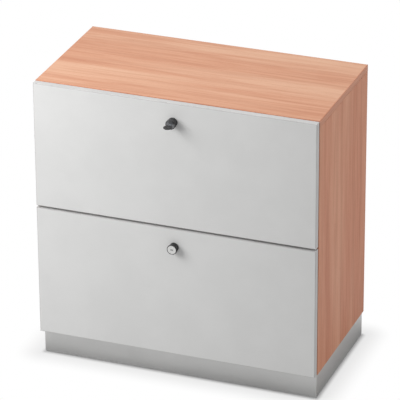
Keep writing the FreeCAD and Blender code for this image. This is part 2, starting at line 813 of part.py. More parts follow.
def ball_cage(place, web, row):
    """A ball cage with a row of balls in each flange, as a list of solids."""
    half = row + dim.cage_sheet / 2
    section = channel_section(web, cage_edge, half, dim.cage_sheet, False, False)
    cage = Piece(place).pad("y", ZERO, [section], dim.cage_length)
    holes = [
        Round(ball_column, dim.cage_length * share, dim.ball_radius + dim.fit) for share in BALL_SHARES
    ]
    cage.cut("z", half, holes, half * 2 + dim.overrun, forward=False)
    solids = [cage.body]
    for share in BALL_SHARES:
        for level in (row, -row):
            ball = DOC.addObject("Part::Sphere", "Ball")
            bind(ball, "Radius", dim.ball_radius)
            put(ball, (place[0] + ball_column, place[1] + dim.cage_length * share, place[2] + level))
            solids.append(ball)
    return solids


def build_slides(name, base):
    """The telescopic slides of one drawer: cabinet, middle and drawer members, and the ball cages."""
    level = slide_level(base)
    place = (-inner_half, slide_front, level)
    screw_rows = [slide_length * share for share in SLIDE_SCREW_SHARES]
    sheet = dim.slide_sheet
    bend = dim.slide_bend

    cabinet = Piece(place).pad(
        "y", ZERO, [channel_section(ZERO, flange_edge, outer_half, sheet, False, True, bend)], slide_length)
    cabinet.cut("x", ZERO, [Round(row, ZERO, dim.slide_screw_head + dim.fit) for row in screw_rows], sheet)
    node(f"{name}_cabinet_slides", group(both([cabinet.body])))

    middle = Piece(place).pad(
        "y", ZERO, [channel_section(middle_web, flange_edge, middle_half, sheet, True, True, bend)],
        slide_length)
    node(f"{name}_middle_slides", group(both([middle.body])))

    inner = Piece(place).pad("y", ZERO, [drawer_section()], slide_length)
    inner.cut("x", dim.slide_width - sheet, [Round(row, ZERO, screw_bore) for row in screw_rows], sheet)
    node(f"{name}_drawer_slides", group(both([inner.body])))

    cage_place = (place[0], place[1] + (slide_length - dim.cage_length) / 2, place[2])
    node(f"{name}_outer_ball_cages", group(both(ball_cage(cage_place, outer_cage_web, outer_row))))
    node(f"{name}_inner_ball_cages", group(both(ball_cage(cage_place, inner_cage_web, inner_row))))

    screws = []
    for row in slide_screw_rows:
        shank = rod("-x", (-inner_half, row, level), dim.screw_radius, dim.screw_grip)
        head = rod("x", (-inner_half, row, level), dim.slide_screw_head, sheet)
        screws.append(fused([shank, head]))
    return screws


def build_front(name, base):
    """One drawer front with its edge strips and bumpers."""
    band = dim.edge_band
    core_half = front_half - band
    top = TOPS[name]
    front = board((-core_half, front_face, base + band), (core_half, front_back, top - band))
    lock_hole = Round(ZERO, lock_level(name), dim.barrel_radius + dim.fit)
    front.cut("y", front_face, [lock_hole], dim.front_board + dim.overrun)
    column = box_half - dim.front_tab / 2 - dim.wall_sheet
    pilot_holes = [Round(x, level, screw_bore) for x in (-column, column) for level in front_screw_levels(base)]
    front.cut("y", front_back, pilot_holes, dim.screw_grip, forward=False)
    node(f"{name}_front", front.body)

    side_strip = strip("z", (-front_half, front_face, base + band), (-core_half, front_back, top - band), "x", 0)
    node(f"{name}_front_edge_strips", group(both([side_strip]) + [
        strip("x", (-front_half, front_face, top - band), (front_half, front_back, top), "z", 1),
        strip("x", (-front_half, front_face, base), (front_half, front_back, base + band), "z", 0),
    ]))

    bumper_column = half_width - dim.board / 2
    bumpers = [
        rod("y", (-bumper_column, front_back, level), dim.bumper_radius, dim.front_clear)
        for level in (base + dim.bumper_inset, top - dim.bumper_inset)
    ]
    node(f"{name}_bumpers", group(both(bumpers)))


def front_screw_levels(base):
    """Heights of the screws that hold a front to its drawer walls."""
    low = base + dim.box_lift
    return (low + dim.front_tab_low + dim.tab_screw_inset, low + tab_high - dim.tab_screw_inset)


def file_rail(place, forward):
    """A flat rail across the drawer for hanging files, with an end tab on each wall."""
    half = box_half - dim.wall_sheet
    sheet = dim.file_rail_sheet
    tab = dim.file_rail_tab
    far = half - sheet
    if forward:
        shape = [
            Corner(-half, ZERO), Corner(half, ZERO), Corner(half, tab), Corner(far, tab),
            Corner(far, sheet), Corner(-far, sheet), Corner(-far, tab), Corner(-half, tab),
        ]
    else:
        shape = [
            Corner(half, ZERO), Corner(-half, ZERO), Corner(-half, -tab), Corner(-far, -tab),
            Corner(-far, -sheet), Corner(far, -sheet), Corner(far, -tab), Corner(half, -tab),
        ]
    rail = Piece(place).pad("z", ZERO, [shape], dim.file_rail_height)
    row = tab / 2 + sheet / 2
    hole = Round(row if forward else -row, dim.file_rail_height / 2, screw_bore)
    rail.cut("x", -half, [hole], half * 2 + dim.overrun)
    return rail.body, place[1] + row if forward else place[1] - row


def build_box(name, base):
    """One steel drawer box: two walls, a folded tray with its back, two file rails and the fixings."""
    low = base + dim.box_lift
    sheet = dim.wall_sheet
    tall = wall_height
    flange = dim.wall_flange
    rail_level = low + tall - dim.file_rail_drop - dim.file_rail_height
    front_rail, front_rivet_row = file_rail(
        (ZERO, front_back + dim.file_rail_setback, rail_level), True)
    rear_rail, rear_rivet_row = file_rail(
        (ZERO, front_back + box_depth - dim.file_rail_setback, rail_level), False)
    node(f"{name}_front_file_rail", front_rail)
    node(f"{name}_rear_file_rail", rear_rail)

    section = [
        Corner(ZERO, ZERO), Corner(flange, ZERO), Corner(flange, sheet), Corner(sheet, sheet),
        Corner(sheet, tall - sheet), Corner(flange - sheet, tall - sheet),
        Corner(flange - sheet, tall - dim.wall_lip), Corner(flange, tall - dim.wall_lip),
        Corner(flange, tall), Corner(ZERO, tall),
    ]
    wall = Piece((-box_half, front_back, low)).pad("y", ZERO, [section], box_depth)
    tab = rectangle(ZERO, dim.front_tab_low, dim.front_tab, tab_high)
    wall.pad("y", ZERO, [tab], sheet)
    tab_column = dim.front_tab / 2 + sheet
    tab_levels = (dim.front_tab_low + dim.tab_screw_inset, tab_high - dim.tab_screw_inset)
    wall.cut("y", ZERO, [Round(tab_column, level, screw_bore) for level in tab_levels], sheet)
    web_holes = [Round(row - front_back, dim.slide_lift, screw_bore) for row in slide_screw_rows]
    rivet_level = rail_level + dim.file_rail_height / 2
    for row in (front_rivet_row, rear_rivet_row):
        web_holes.append(Round(row - front_back, rivet_level - low, screw_bore))
    wall.cut("x", ZERO, web_holes, sheet)
    node(f"{name}_left_wall", wall.body)
    node(f"{name}_right_wall", mirror(wall.body))

    tray_half = box_half - sheet - dim.tray_clear
    long = box_depth - sheet - dim.tray_clear
    back_top = tall - sheet - dim.wall_lip - dim.tray_clear
    inset = long - dim.tray_return
    bend = dim.tray_bend
    folded = [
        Corner(ZERO, ZERO, bend), Corner(long, ZERO, bend), Corner(long, back_top, bend),
        Corner(inset, back_top), Corner(inset, back_top - sheet), Corner(long - sheet, back_top - sheet),
        Corner(long - sheet, sheet), Corner(sheet, sheet), Corner(sheet, dim.tray_upstand),
        Corner(ZERO, dim.tray_upstand),
    ]
    tray = Piece((-tray_half, front_back + sheet + dim.tray_clear, low + sheet))
    tray.pad("x", ZERO, [folded], tray_half * 2)
    node(f"{name}_tray", tray.body)

    fixings = []
    for row in slide_screw_rows:
        fixings.append(screw("-x", (sheet - box_half, row, slide_level(base)), dim.screw_head,
                             dim.screw_head_height, sheet + dim.slide_sheet))
    for level in front_screw_levels(base):
        fixings.append(screw("-y", (tab_column - box_half, front_back + sheet, level), dim.screw_head,
                             dim.screw_head_height, dim.screw_grip))
    inside = sheet + dim.file_rail_sheet - box_half
    for row in (front_rivet_row, rear_rivet_row):
        shank = screw("-x", (inside, row, rivet_level), dim.rivet_head, dim.rivet_head_height,
                      sheet + dim.file_rail_sheet)
        outside_head = rod("-x", (-box_half, row, rivet_level), dim.rivet_head, dim.rivet_head_height)
        fixings.append(fused([shank, outside_head]))
    node(f"{name}_drawer_fixings", group(both(fixings)))


def build_lock(name, with_key):
    """One knob with the lock in it: knob, nut, plug, cam, and a key where there is one."""
    level = lock_level(name)
    place = (ZERO, front_face, level)
    nose = -dim.knob_reach
    bore = dim.plug_radius + dim.plug_play
    seat = dim.plug_head + dim.plug_play
    tail = dim.front_board + dim.barrel_tail
    knob = Piece(place).spin("z", [
        Corner(bore, tail), Corner(bore, nose + dim.plug_head_depth), Corner(seat, nose + dim.plug_head_depth),
        Corner(seat, nose), Corner(dim.knob_radius, nose, dim.knob_round),
        Corner(dim.knob_radius, nose + dim.knob_rim, None, dim.knob_waist),
        Corner(dim.knob_foot_radius, -dim.knob_foot), Corner(dim.knob_foot_radius, ZERO),
        Corner(dim.barrel_radius, ZERO), Corner(dim.barrel_radius, tail),
    ])
    node(f"{name}_knob", knob.body)
    node(f"{name}_lock_nut", hex_nut("y", (ZERO, front_back, level), dim.lock_nut_radius, dim.lock_nut_height,
                                     dim.barrel_radius + dim.fit))

    face = nose + dim.plug_recess
    shoulder = tail + dim.fit
    cam_back = shoulder + dim.cam_sheet
    square = dim.cam_square / 2
    plug = Piece(place).pad("y", face, [Round(ZERO, ZERO, dim.plug_radius)], shoulder - face)
    plug.pad("y", face, [Round(ZERO, ZERO, dim.plug_head)], dim.plug_head_depth - dim.plug_recess - dim.fit)
    plug.pad("y", shoulder, [rectangle(-square, -square, square, square)], dim.cam_sheet)
    plug.pad("y", cam_back, [Round(ZERO, ZERO, dim.cam_rivet_radius)], dim.cam_rivet_height)
    slot_half = dim.key_blade / 2 + dim.key_play
    slot_thick = dim.key_sheet / 2 + dim.key_play
    slot = rectangle(-slot_half, -slot_thick, slot_half, slot_thick)
    plug.cut("y", face, [slot], dim.key_depth + dim.key_play)
    node(f"{name}_lock_plug", plug.body)

    hole = square + dim.fit / 2
    half = dim.cam_width / 2
    rounded = rectangle(-half, -half, dim.cam_reach, half, (None, dim.cam_round, dim.cam_round, None))
    cam = Piece((ZERO, cam_front, level))
    cam.pad("y", ZERO, [rounded, rectangle(-hole, -hole, hole, hole)], dim.cam_sheet)
    node(f"{name}_lock_cam", cam.body)

    if with_key:
        blade = dim.key_blade / 2
        bow_row = nose - dim.key_stem - dim.key_bow_radius
        hole_row = bow_row - dim.key_bow_radius / 2
        key = Piece(place)
        key.pad("z", -dim.key_sheet / 2, [rectangle(-blade, bow_row, blade, face + dim.key_depth)], dim.key_sheet)
        key.pad("z", -dim.key_bow_sheet / 2, [
            Round(ZERO, bow_row, dim.key_bow_radius), Round(ZERO, hole_row, dim.key_hole_radius),
        ], dim.key_bow_sheet)
        node(f"{name}_key", key.body)


def write_nodes():
    """Stops on any failed object or idle cut, then writes each piece to a file of its own."""
    DOC.recompute()
    for item in DOC.Objects:
        if "Invalid" in item.State or "Error" in item.State:
            raise RuntimeError(f"{item.Label}: {item.State}")
        if item.TypeId == "PartDesign::Pocket" and item.Shape.Volume >= item.BaseFeature.Shape.Volume:
            raise RuntimeError(f"{item.getParentGeoFeatureGroup().Label}: {item.Label} cuts nothing")
    for item in NODES:
        if item.Shape.isNull() or not item.Shape.isValid():
            raise RuntimeError(f"{item.Label}: no valid shape")
    os.makedirs("parts", exist_ok=True)
    for item in NODES:
        item.Shape.exportStep(f"parts/{item.Label}.step")
        print(f"{item.Label}: {len(item.Shape.Solids)} solids, {item.Shape.Volume:.0f} cubic millimetres")
    print(f"{len(NODES)} nodes")


build_boards()
build_connectors()
build_plinth()
build_strikes()
slide_screws = []
for drawer_name, drawer_base in BASES.items():
    slide_screws += build_slides(drawer_name, drawer_base)
    build_front(drawer_name, drawer_base)
    build_box(drawer_name, drawer_base)
    build_lock(drawer_name, drawer_name == "upper")
node("slide_screws", group(both(slide_screws)))
write_nodes()
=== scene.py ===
import logging
import math
from dataclasses import dataclass, field
from enum import Enum, IntEnum
from functools import cached_property
from typing import Any

import bmesh
import bpy
import numpy as np
from mathutils import Matrix, Vector


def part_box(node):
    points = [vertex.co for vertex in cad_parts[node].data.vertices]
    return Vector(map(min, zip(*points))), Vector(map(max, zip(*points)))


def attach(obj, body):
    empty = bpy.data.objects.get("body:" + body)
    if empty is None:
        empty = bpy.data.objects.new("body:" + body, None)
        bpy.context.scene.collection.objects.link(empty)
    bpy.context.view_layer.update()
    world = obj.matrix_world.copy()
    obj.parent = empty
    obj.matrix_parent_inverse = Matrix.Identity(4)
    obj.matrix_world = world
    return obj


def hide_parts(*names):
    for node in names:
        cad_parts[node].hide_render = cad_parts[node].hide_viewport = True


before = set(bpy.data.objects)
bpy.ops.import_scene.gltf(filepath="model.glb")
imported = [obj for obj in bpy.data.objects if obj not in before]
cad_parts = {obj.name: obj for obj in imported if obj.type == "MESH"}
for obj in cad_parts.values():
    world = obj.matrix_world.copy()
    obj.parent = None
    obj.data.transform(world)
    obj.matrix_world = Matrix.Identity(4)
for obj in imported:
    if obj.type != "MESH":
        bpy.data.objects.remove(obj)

LOG = logging.getLogger("filing_cabinet")
MM = 0.001
MERGE_WITHIN = 0.001 * MM
WHITE = (1.0, 1.0, 1.0, 1.0)
PLINTH_RAILS = tuple(f"plinth_{side}_rail" for side in ("front", "back", "left", "right"))

Colour = tuple[float, float, float]
Point = tuple[float, float, float]
Span = tuple[float, float]
Settings = dict[str, str]
Sockets = dict[str | int, Any]


def tint(red: int, green: int, blue: int) -> Colour:
    """Turns a screen colour into the linear one that shaders take, by the usual screen curve.

    Args:
        red: Red, from 0 to 255.
        green: Green, from 0 to 255.
        blue: Blue, from 0 to 255.

    Returns:
        The three linear values, from 0 to 1.
    """
    screen = np.array([red, green, blue]) / 255
    linear = np.where(screen <= 0.04045, screen / 12.92, ((screen + 0.055) / 1.055) ** 2.4)
    return tuple(float(value) for value in linear)


class Axis(IntEnum):
    """The cabinet's axes, each by its place in a point; a grain runs along one of them."""

    WIDTH = 0
    DEPTH = 1
    HEIGHT = 2

    def stretched(self, along: float, across: float) -> Point:
        """Gives how often a pattern repeats per metre on X, Y and Z, along and across the axis."""
        return tuple(along if axis is self else across for axis in Axis)


class Tier(Enum):
    """The two drawers, by the word that their pieces' names begin with."""

    UPPER = "upper"
    LOWER = "lower"


class Beech(Enum):
    """The shades of beech, each as its light, middle and dark colour."""

    PALE = (tint(230, 183, 153), tint(214, 153, 122), tint(182, 116, 87))
    WARM = (tint(230, 171, 140), tint(213, 140, 109), tint(176, 102, 74))
    DOWEL = (tint(226, 190, 140), tint(214, 176, 126), tint(190, 146, 100))


class Plating(Enum):
    """The platings of a lock plug, each as its ground and the colour of its turning rings. The dark one is
    painted shade: the plating darkened to stand in for shade on the upper plug's face.
    """

    BRIGHT = (tint(214, 214, 212), tint(182, 183, 184))
    # Painted shade: a darkened copy of the bright plating, for the shaded face of the upper plug.
    PAINTED_SHADE = (tint(122, 123, 125), tint(92, 93, 95))


@dataclass(frozen=True)
class Pattern:
    """A soft noise over a surface: its blots per metre along and across a grain, and how they are drawn.

    The detail adds finer blots, the warp bends them, and the fade says between which values they come in.
    """

    along: float
    across: float
    detail: float = 3.0
    warp: float = 0.0
    fade: Span | None = None

    @classmethod
    def even(cls, blots: float, detail: float = 2.0, fade: Span | None = None) -> "Pattern":
        """Makes a pattern that is the same every way."""
        return cls(blots, blots, detail, 0.0, fade)


@dataclass(frozen=True)
class Relief:
    """How deep a pattern goes into a face, in metres, and how strongly that shows."""

    depth: float
    strength: float


class Tone:
    """A value in a shader: it wraps an output socket, and sums and products of tones add Math nodes."""

    def __init__(self, recipe: "Recipe", socket: bpy.types.NodeSocket) -> None:
        """Keeps the recipe that adds the nodes, and the socket."""
        self.recipe = recipe
        self.socket = socket

    def _math(self, operation: str, first: "Tone | float", second: "Tone | float") -> "Tone":
        """Adds one Math node on two values."""
        return self.recipe.tone("ShaderNodeMath", {"operation": operation}, {0: first, 1: second})

    def __add__(self, other: "Tone | float") -> "Tone":
        """Adds."""
        return self._math("ADD", self, other)

    __radd__ = __add__

    def __sub__(self, other: "Tone | float") -> "Tone":
        """Subtracts."""
        return self._math("SUBTRACT", self, other)

    def __rsub__(self, other: float) -> "Tone":
        """Subtracts from a number."""
        return self._math("SUBTRACT", other, self)

    def __mul__(self, other: "Tone | float") -> "Tone":
        """Multiplies."""
        return self._math("MULTIPLY", self, other)

    __rmul__ = __mul__

    def __pow__(self, other: float) -> "Tone":
        """Raises to a power."""
        return self._math("POWER", self, other)

    def __gt__(self, other: float) -> "Tone":
        """Gives 1 where the value is above a number, and 0 elsewhere."""
        return self._math("GREATER_THAN", self, other)

    def most(self, other: "Tone | float") -> "Tone":
        """Takes the larger of two values."""
        return self._math("MAXIMUM", self, other)

    def beyond(self, low: float, high: float) -> "Tone":
        """Gives how far the value lies outside a span, and 0 inside it."""
        return (low - self).most(self - high).most(0.0)

    def ramp(self, low: float, high: float) -> "Tone":
        """Runs smoothly from 0 at one value to 1 at another.

        Args:
            low: The value up to which the ramp is 0.
            high: The value from which it is 1.

        Returns:
            The ramp as a tone.
        """
        settings = {"interpolation_type": "SMOOTHSTEP"}
        sockets = {"Value": self, "From Min": low, "From Max": high}
        return self.recipe.tone("ShaderNodeMapRange", settings, sockets)


class Recipe:
    """The nodes of a material or a world, written as expressions."""

    def __init__(self, owner: bpy.types.Material | bpy.types.World) -> None:
        """Empties the owner's nodes.

        Args:
            owner: The material or world that the nodes belong to.
        """
        self.owner = owner
        owner.use_nodes = True
        self.tree = owner.node_tree
        self.tree.nodes.clear()

    @classmethod
    def named(cls, name: str) -> "Recipe":
        """Starts a new material."""
        return cls(bpy.data.materials.new(name))

    @cached_property
    def place(self) -> Tone:
        """The object's own coordinates."""
        return Tone(self, self.node("ShaderNodeTexCoord").outputs["Object"])

    def node(
        self, kind: str, settings: Settings | None = None, sockets: Sockets | None = None
    ) -> bpy.types.Node:
        """Adds a node.

        Args:
            kind: The node's type.
            settings: Its properties, which are set first.
            sockets: Its inputs by name or number, each a number, a tuple or a tone to link.

        Returns:
            The new node.
        """
        node = self.tree.nodes.new(kind)
        for key, value in (settings or {}).items():
            setattr(node, key, value)
        for key, value in (sockets or {}).items():
            if isinstance(value, Tone):
                self.tree.links.new(value.socket, node.inputs[key])
            else:
                node.inputs[key].default_value = value
        return node

    def tone(
        self, kind: str, settings: Settings | None = None, sockets: Sockets | None = None, out: int = 0
    ) -> Tone:
        """Adds a node and gives one of its outputs as a tone."""
        return Tone(self, self.node(kind, settings, sockets).outputs[out])

    def mapped(self, scale: Point, shift: Point = (0.0, 0.0, 0.0)) -> Tone:
        """Gives the object's own coordinates, scaled and then shifted."""
        sockets = {"Vector": self.place, "Scale": scale, "Location": shift}
        return self.tone("ShaderNodeMapping", None, sockets)

    def pattern(
        self, pattern: Pattern, grain: Axis = Axis.HEIGHT, shift: Point = (0.0, 0.0, 0.0)
    ) -> Tone:
        """Draws a pattern over the surface.

        Args:
            pattern: The pattern.
            grain: The axis that its grain runs along.
            shift: How far it is moved, in blots, so that no two boards show the same stretch of it.

        Returns:
            The pattern as a tone from 0 to 1.
        """
        noise = self.tone("ShaderNodeTexNoise", None, {
            "Vector": self.mapped(grain.stretched(pattern.along, pattern.across), shift),
            "Scale": 1.0,
            "Detail": pattern.detail,
            "Distortion": pattern.warp,
        })
        return noise if pattern.fade is None else noise.ramp(*pattern.fade)

    def along(self, axis: Axis) -> Tone:
        """Gives one of the object's own coordinates, in metres."""
        return self.tone("ShaderNodeSeparateXYZ", None, {"Vector": self.place}, out=axis)

    def seen(self) -> tuple[Tone, Tone]:
        """Tells apart the rays that show a surface.

        Returns:
            Two tones: 1 for rays from the camera, and 1 for rays off a gloss or through glass.
        """
        path = self.node("ShaderNodeLightPath").outputs
        names = ("Is Camera Ray", "Is Glossy Ray", "Is Transmission Ray")
        camera, gloss, glass = (Tone(self, path[name]) for name in names)
        return camera, gloss.most(glass)

    def mix(self, share: Tone, first: Colour | Tone, second: Colour | Tone) -> Tone:
        """Mixes two colours.

        Args:
            share: The second colour's share, from 0 to 1.
            first: The first colour.
            second: The second colour.

        Returns:
            The mixed colour as a tone.
        """
        ends = [colour if isinstance(colour, Tone) else (*colour, 1.0) for colour in (first, second)]
        sockets = {0: share, 6: ends[0], 7: ends[1]}
        return self.tone("ShaderNodeMix", {"data_type": "RGBA"}, sockets, out=2)

    def relief(self, height: Tone, relief: Relief) -> Tone:
        """Turns a height from 0 to 1 into a bumped normal."""
        sockets = {"Height": height, "Distance": relief.depth, "Strength": relief.strength}
        return self.tone("ShaderNodeBump", None, sockets)

    def finish(self, sockets: Sockets) -> bpy.types.Material:
        """Ends a material with one surface shader.

        Args:
            sockets: The shader's inputs, by name.

        Returns:
            The material.
        """
        surface = self.tone("ShaderNodeBsdfPrincipled", None, sockets)
        self.node("ShaderNodeOutputMaterial", None, {"Surface": surface})
        return self.owner


@dataclass(frozen=True)
class BeechLaminate:
    """Beech-look laminate: broad soft bands, veins, fine streaks and short dark flecks along the grain."""

    name: str
    grain: Axis
    seed: float
    shade: Beech = Beech.PALE
    gloss: float = 0.2
    seed_steps: Point = (1.0, 1.7, 2.3)
    bands: Pattern = Pattern(1.1, 15.0, 4.0, 0.6, (0.34, 0.66))
    veins: Pattern = Pattern(2.4, 58.0, 3.0, 0.4, (0.42, 0.68))
    streaks: Pattern = Pattern(7.0, 210.0, 3.0, 0.3, (0.36, 0.66))
    flecks: Pattern = Pattern(85.0, 800.0, 1.0, 0.0, (0.60, 0.74))
    pores: Pattern = Pattern(40.0, 900.0, 2.0)
    band_share: float = 0.65
    streak_share: float = 0.35
    fleck_share: float = 0.26
    vein_share: float = 0.20
    dark_streak_share: float = 0.14
    roughness: float = 0.46
    pore_roughness: float = 0.14
    relief: Relief = Relief(0.05 * MM, 0.35)

    def material(self) -> bpy.types.Material:
        """Makes the material.

        Returns:
            The finished material.
        """
        recipe = Recipe.named(self.name)
        light, middle, dark = self.shade.value
        shift = tuple(self.seed * step for step in self.seed_steps)
        bands, veins, streaks, flecks, pores = (
            recipe.pattern(layer, self.grain, shift)
            for layer in (self.bands, self.veins, self.streaks, self.flecks, self.pores)
        )
        ground = recipe.mix(bands * self.band_share + streaks * self.streak_share, light, middle)
        lines = veins * self.vein_share + streaks * bands * self.dark_streak_share
        marks = flecks * self.fleck_share + lines
        return recipe.finish({
            "Base Color": recipe.mix(marks, ground, dark),
            "Roughness": self.roughness + pores * self.pore_roughness,
            "Normal": recipe.relief(pores, self.relief),
            "Specular IOR Level": self.gloss,
        })


@dataclass(frozen=True)
class EdgeBand:
    """Edge strip in about the shade of its board, with streaks along its length.

    Strips above a height lie level, and those below it stand upright.
    """

    name: str
    level_from: float
    colour: Colour = tint(222, 158, 126)
    streak: Colour = tint(196, 128, 98)
    upright: Pattern = Pattern(5.0, 380.0)
    level: Pattern = Pattern(380.0, 5.0)
    streak_fade: Span = (0.3, 0.7)
    streak_share: float = 0.8
    skin: Pattern = Pattern.even(900.0)
    skin_share: float = 0.2
    roughness: float = 0.44
    skin_roughness: float = 0.12
    relief: Relief = Relief(0.04 * MM, 0.4)
    gloss: float = 0.35

    def material(self) -> bpy.types.Material:
        """Makes the material.

        Returns:
            The finished material.
        """
        recipe = Recipe.named(self.name)
        upright = recipe.pattern(self.upright)
        level = recipe.pattern(self.level)
        high = recipe.along(Axis.HEIGHT) > self.level_from
        streaks = (upright + (level - upright) * high).ramp(*self.streak_fade)
        skin = recipe.pattern(self.skin)
        share = streaks * self.streak_share + skin * self.skin_share
        return recipe.finish({
            "Base Color": recipe.mix(share, self.colour, self.streak),
            "Roughness": self.roughness + skin * self.skin_roughness,
            "Normal": recipe.relief(skin, self.relief),
            "Specular IOR Level": self.gloss,
        })


@dataclass(frozen=True)
class PlainLaminate:
    """Light-grey satin laminate with a faint cloud in its tone and a fine pearl in its face."""

    name: str
    colour: Colour
    cloud: Colour
    clouds: Pattern = Pattern.even(9.0, 5.0, (0.3, 0.7))
    cloud_share: float = 0.7
    pearl: Pattern = Pattern.even(620.0)
    pearl_share: float = 0.3
    roughness: float = 0.36
    pearl_roughness: float = 0.12
    cloud_roughness: float = 0.04
    relief: Relief = Relief(0.06 * MM, 0.4)
    gloss: float = 0.3

    def material(self) -> bpy.types.Material:
        """Makes the material.

        Returns:
            The finished material.
        """
        recipe = Recipe.named(self.name)
        clouds = recipe.pattern(self.clouds)
        pearl = recipe.pattern(self.pearl)
        share = clouds * self.cloud_share + pearl * self.pearl_share
        return recipe.finish({
            "Base Color": recipe.mix(share, self.colour, self.cloud),
            "Roughness": self.roughness + pearl * self.pearl_roughness + clouds * self.cloud_roughness,
            "Normal": recipe.relief(pearl, self.relief),
            "Specular IOR Level": self.gloss,
        })


@dataclass(frozen=True)
class PowderCoat:
    """Powder-coated steel: a fine orange-peel skin and a faint cloud in its tone."""

    name: str
    colour: Colour
    cloud: Colour
    roughness: float = 0.42
    peel: Pattern = Pattern.even(480.0)
    peel_roughness: float = 0.12
    relief: Relief = Relief(0.08 * MM, 0.5)
    clouds: Pattern = Pattern(14.0, 6.0, 6.0, 0.0, (0.35, 0.72))
    cloud_share: float = 0.35

    def material(self) -> bpy.types.Material:
        """Makes the material.

        Returns:
            The finished material.
        """
        recipe = Recipe.named(self.name)
        peel = recipe.pattern(self.peel)
        clouds = recipe.pattern(self.clouds)
        return recipe.finish({
            "Base Color": recipe.mix(clouds * self.cloud_share, self.colour, self.cloud),
            "Roughness": self.roughness + peel * self.peel_roughness,
            "Normal": recipe.relief(peel, self.relief),
        })


@dataclass(frozen=True)
class PlinthPaint(PowderCoat):
    """Silver-grey powder coat with metal flake, scuffed close to the floor, and darkened towards the floor
    by painted shade.
    """

    roughness: float = 0.30
    flake: float = 0.85
    # Height up to which the scuffs and the painted shade near the floor reach.
    scuff_and_shade_top: float = 45 * MM
    scuffs: Pattern = Pattern(160.0, 30.0, 6.0, 0.0, (0.60, 0.72))
    scuff_share: float = 0.5
    scuff_roughness: float = 0.15
    # Painted shade: the dark colour that the paint turns towards close to the floor.
    painted_floor_shade: Colour = tint(96, 96, 98)
    painted_floor_shade_share: float = 0.15

    def material(self) -> bpy.types.Material:
        """Makes the material.

        Returns:
            The finished material.
        """
        recipe = Recipe.named(self.name)
        peel = recipe.pattern(self.peel)
        clouds = recipe.pattern(self.clouds)
        low = 1.0 - recipe.along(Axis.HEIGHT).ramp(0.0, self.scuff_and_shade_top)
        scuffs = recipe.pattern(self.scuffs) * low
        wear = clouds * self.cloud_share + scuffs * self.scuff_share
        paint = recipe.mix(wear, self.colour, self.cloud)
        return recipe.finish({
            # This mix towards the dark colour is painted shade, darker towards the floor.
            "Base Color": recipe.mix(low * low * self.painted_floor_shade_share, paint, self.painted_floor_shade),
            "Metallic": self.flake,
            "Roughness": self.roughness + peel * self.peel_roughness + scuffs * self.scuff_roughness,
            "Normal": recipe.relief(peel, self.relief),
        })


@dataclass(frozen=True)
class ZincPlate:
    """Bright zinc-plated steel, drawn along its depth, with faint cloudy plating."""

    name: str
    colour: Colour = tint(196, 199, 202)
    dull: Colour = tint(160, 164, 170)
    grain: Axis = Axis.DEPTH
    lines: Pattern = Pattern(9.0, 900.0, 2.0)
    line_share: float = 0.3
    clouds: Pattern = Pattern.even(60.0, 4.0, (0.3, 0.7))
    cloud_share: float = 0.6
    metal: float = 0.92
    roughness: float = 0.26
    line_roughness: float = 0.12
    cloud_roughness: float = 0.08
    relief: Relief = Relief(0.02 * MM, 0.3)

    def material(self) -> bpy.types.Material:
        """Makes the material.

        Returns:
            The finished material.
        """
        recipe = Recipe.named(self.name)
        lines = recipe.pattern(self.lines, self.grain)
        clouds = recipe.pattern(self.clouds)
        share = clouds * self.cloud_share + lines * self.line_share
        return recipe.finish({
            "Base Color": recipe.mix(share, self.colour, self.dull),
            "Metallic": self.metal,
            "Roughness": self.roughness + lines * self.line_roughness + clouds * self.cloud_roughness,
            "Normal": recipe.relief(lines, self.relief),
        })


@dataclass(frozen=True)
class MouldedPlastic:
    """Moulded plastic with a fine spark-eroded skin, a little polished by handling."""

    name: str
    colour: Colour = tint(30, 30, 31)
    rubbed: Colour = tint(58, 58, 60)
    skin: Pattern = Pattern.even(1600.0)
    skin_share: float = 0.15
    rub: Pattern = Pattern.even(70.0, 4.0, (0.52, 0.75))
    rub_share: float = 0.5
    roughness: float = 0.44
    rub_polish: float = 0.12
    skin_roughness: float = 0.08
    relief: Relief = Relief(0.03 * MM, 0.5)

    def material(self) -> bpy.types.Material:
        """Makes the material.

        Returns:
            The finished material.
        """
        recipe = Recipe.named(self.name)
        skin = recipe.pattern(self.skin)
        rub = recipe.pattern(self.rub)
        share = rub * self.rub_share + skin * self.skin_share
        return recipe.finish({
            "Base Color": recipe.mix(share, self.colour, self.rubbed),
            "Roughness": self.roughness - rub * self.rub_polish + skin * self.skin_roughness,
            "Normal": recipe.relief(skin, self.relief),
        })


@dataclass(frozen=True)
class TurnedSteel:
    """Nickel-plated steel with turning rings round a lock's axis."""

    name: str
    axis_height: float
    plating: Plating
    ring_scale: float = 420.0
    ring_wobble: float = 0.25
    ring_share: float = 0.35
    wear: Pattern = Pattern.even(260.0, 4.0, (0.4, 0.7))
    wear_share: float = 0.3
    metal: float = 0.9
    roughness: float = 0.20
    ring_roughness: float = 0.08
    wear_roughness: float = 0.12
    relief: Relief = Relief(0.01 * MM, 0.3)

    def material(self) -> bpy.types.Material:
        """Makes the material.

        Returns:
            The finished material.
        """
        recipe = Recipe.named(self.name)
        centred = recipe.mapped((1.0, 1.0, 1.0), (0.0, 0.0, -self.axis_height))
        settings = {"wave_type": "RINGS", "rings_direction": "Y", "wave_profile": "SIN"}
        sockets = {"Vector": centred, "Scale": self.ring_scale, "Distortion": self.ring_wobble}
        rings = recipe.tone("ShaderNodeTexWave", settings, sockets, out=1)
        wear = recipe.pattern(self.wear)
        share = rings * self.ring_share + wear * self.wear_share
        return recipe.finish({
            "Base Color": recipe.mix(share, *self.plating.value),
            "Metallic": self.metal,
            "Roughness": self.roughness + rings * self.ring_roughness + wear * self.wear_roughness,
            "Normal": recipe.relief(rings, self.relief),
        })


